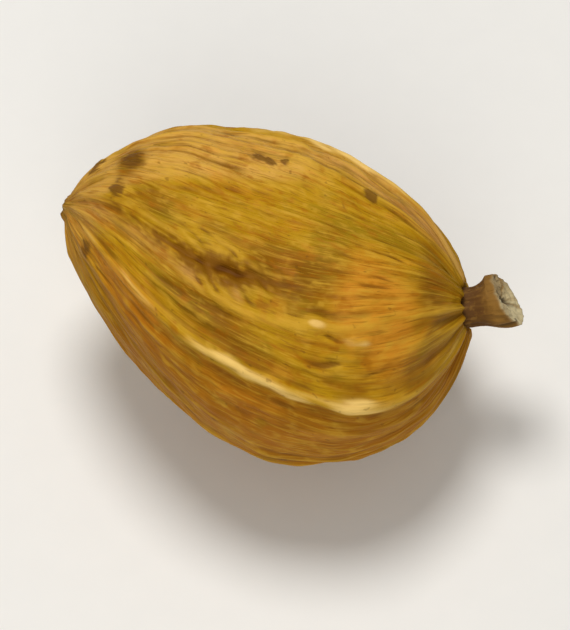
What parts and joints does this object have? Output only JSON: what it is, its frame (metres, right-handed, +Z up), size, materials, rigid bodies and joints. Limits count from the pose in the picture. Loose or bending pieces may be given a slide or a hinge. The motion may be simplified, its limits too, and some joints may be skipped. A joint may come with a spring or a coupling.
{
  "type": "dried cardamom pod",
  "caption": "Dried ochre-brown cardamom pod, blunt-cornered and ribbed, with raised pale seams, a shrinkage crease, a blunt tip and a woody stalk stub.",
  "frame": {"origin": "on the surface that the pod rests on, under the middle of its box", "axes": "+X along the pod, from the blunt tip to the stalk stub; +Y away from the side that the picture shows; +Z up, out of the surface"},
  "size_m": [0.0144, 0.0098, 0.0094],
  "materials": {
    "husk": "dry papery husk, ochre to brown, with paler seams and a faint satin sheen",
    "stalk": "dry woody fibre, brown at the neck and pale at the broken end"
  },
  "bodies": {
    "root": {"husk": "husk", "stalk_stub": "stalk"}
  },
  "joints": []
}
